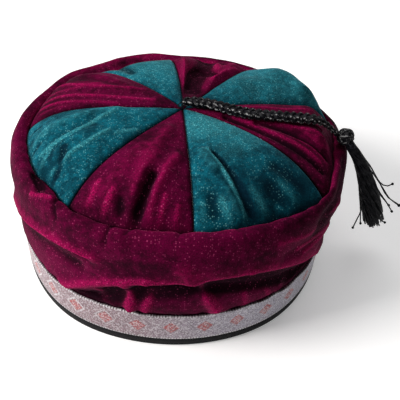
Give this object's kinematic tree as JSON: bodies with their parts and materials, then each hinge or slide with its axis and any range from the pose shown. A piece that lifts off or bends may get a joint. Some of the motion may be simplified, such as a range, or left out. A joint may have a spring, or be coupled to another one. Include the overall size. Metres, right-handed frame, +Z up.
{
  "type": "smoking cap",
  "caption": "Soft round smoking cap: velvet wedges over a puffed side band, woven ribbon and bound edge at the rim, and a braided cord with a tassel laid over the crown.",
  "frame": {"origin": "on the floor under the middle of the cap's bounding box, measured without the cord and tassel", "axes": "+Z up through the crown, -Y towards the front as pictured, +X towards the side where the tassel hangs"},
  "size_m": [0.2258, 0.1948, 0.0991],
  "materials": {
    "burgundy_velvet": "soft cut velvet pile, burgundy",
    "teal_velvet": "soft cut velvet pile, teal",
    "silver_ribbon": "woven silver ribbon with small salmon diamonds",
    "black_binding": "ribbed black binding tape",
    "black_thread": "black braided and loose thread"
  },
  "bodies": {
    "root": {"crown_gore_1_teal": "teal_velvet", "crown_gore_2_burgundy": "burgundy_velvet", "crown_gore_3_teal": "teal_velvet", "crown_gore_4_burgundy": "burgundy_velvet", "crown_gore_5_teal": "teal_velvet", "crown_gore_6_burgundy": "burgundy_velvet", "crown_gore_7_teal": "teal_velvet", "crown_gore_8_burgundy": "burgundy_velvet", "side_band": "burgundy_velvet", "ribbon_trim": "silver_ribbon", "rim_binding": "black_binding", "tassel_cord": "black_thread", "tassel": "black_thread"}
  },
  "joints": []
}
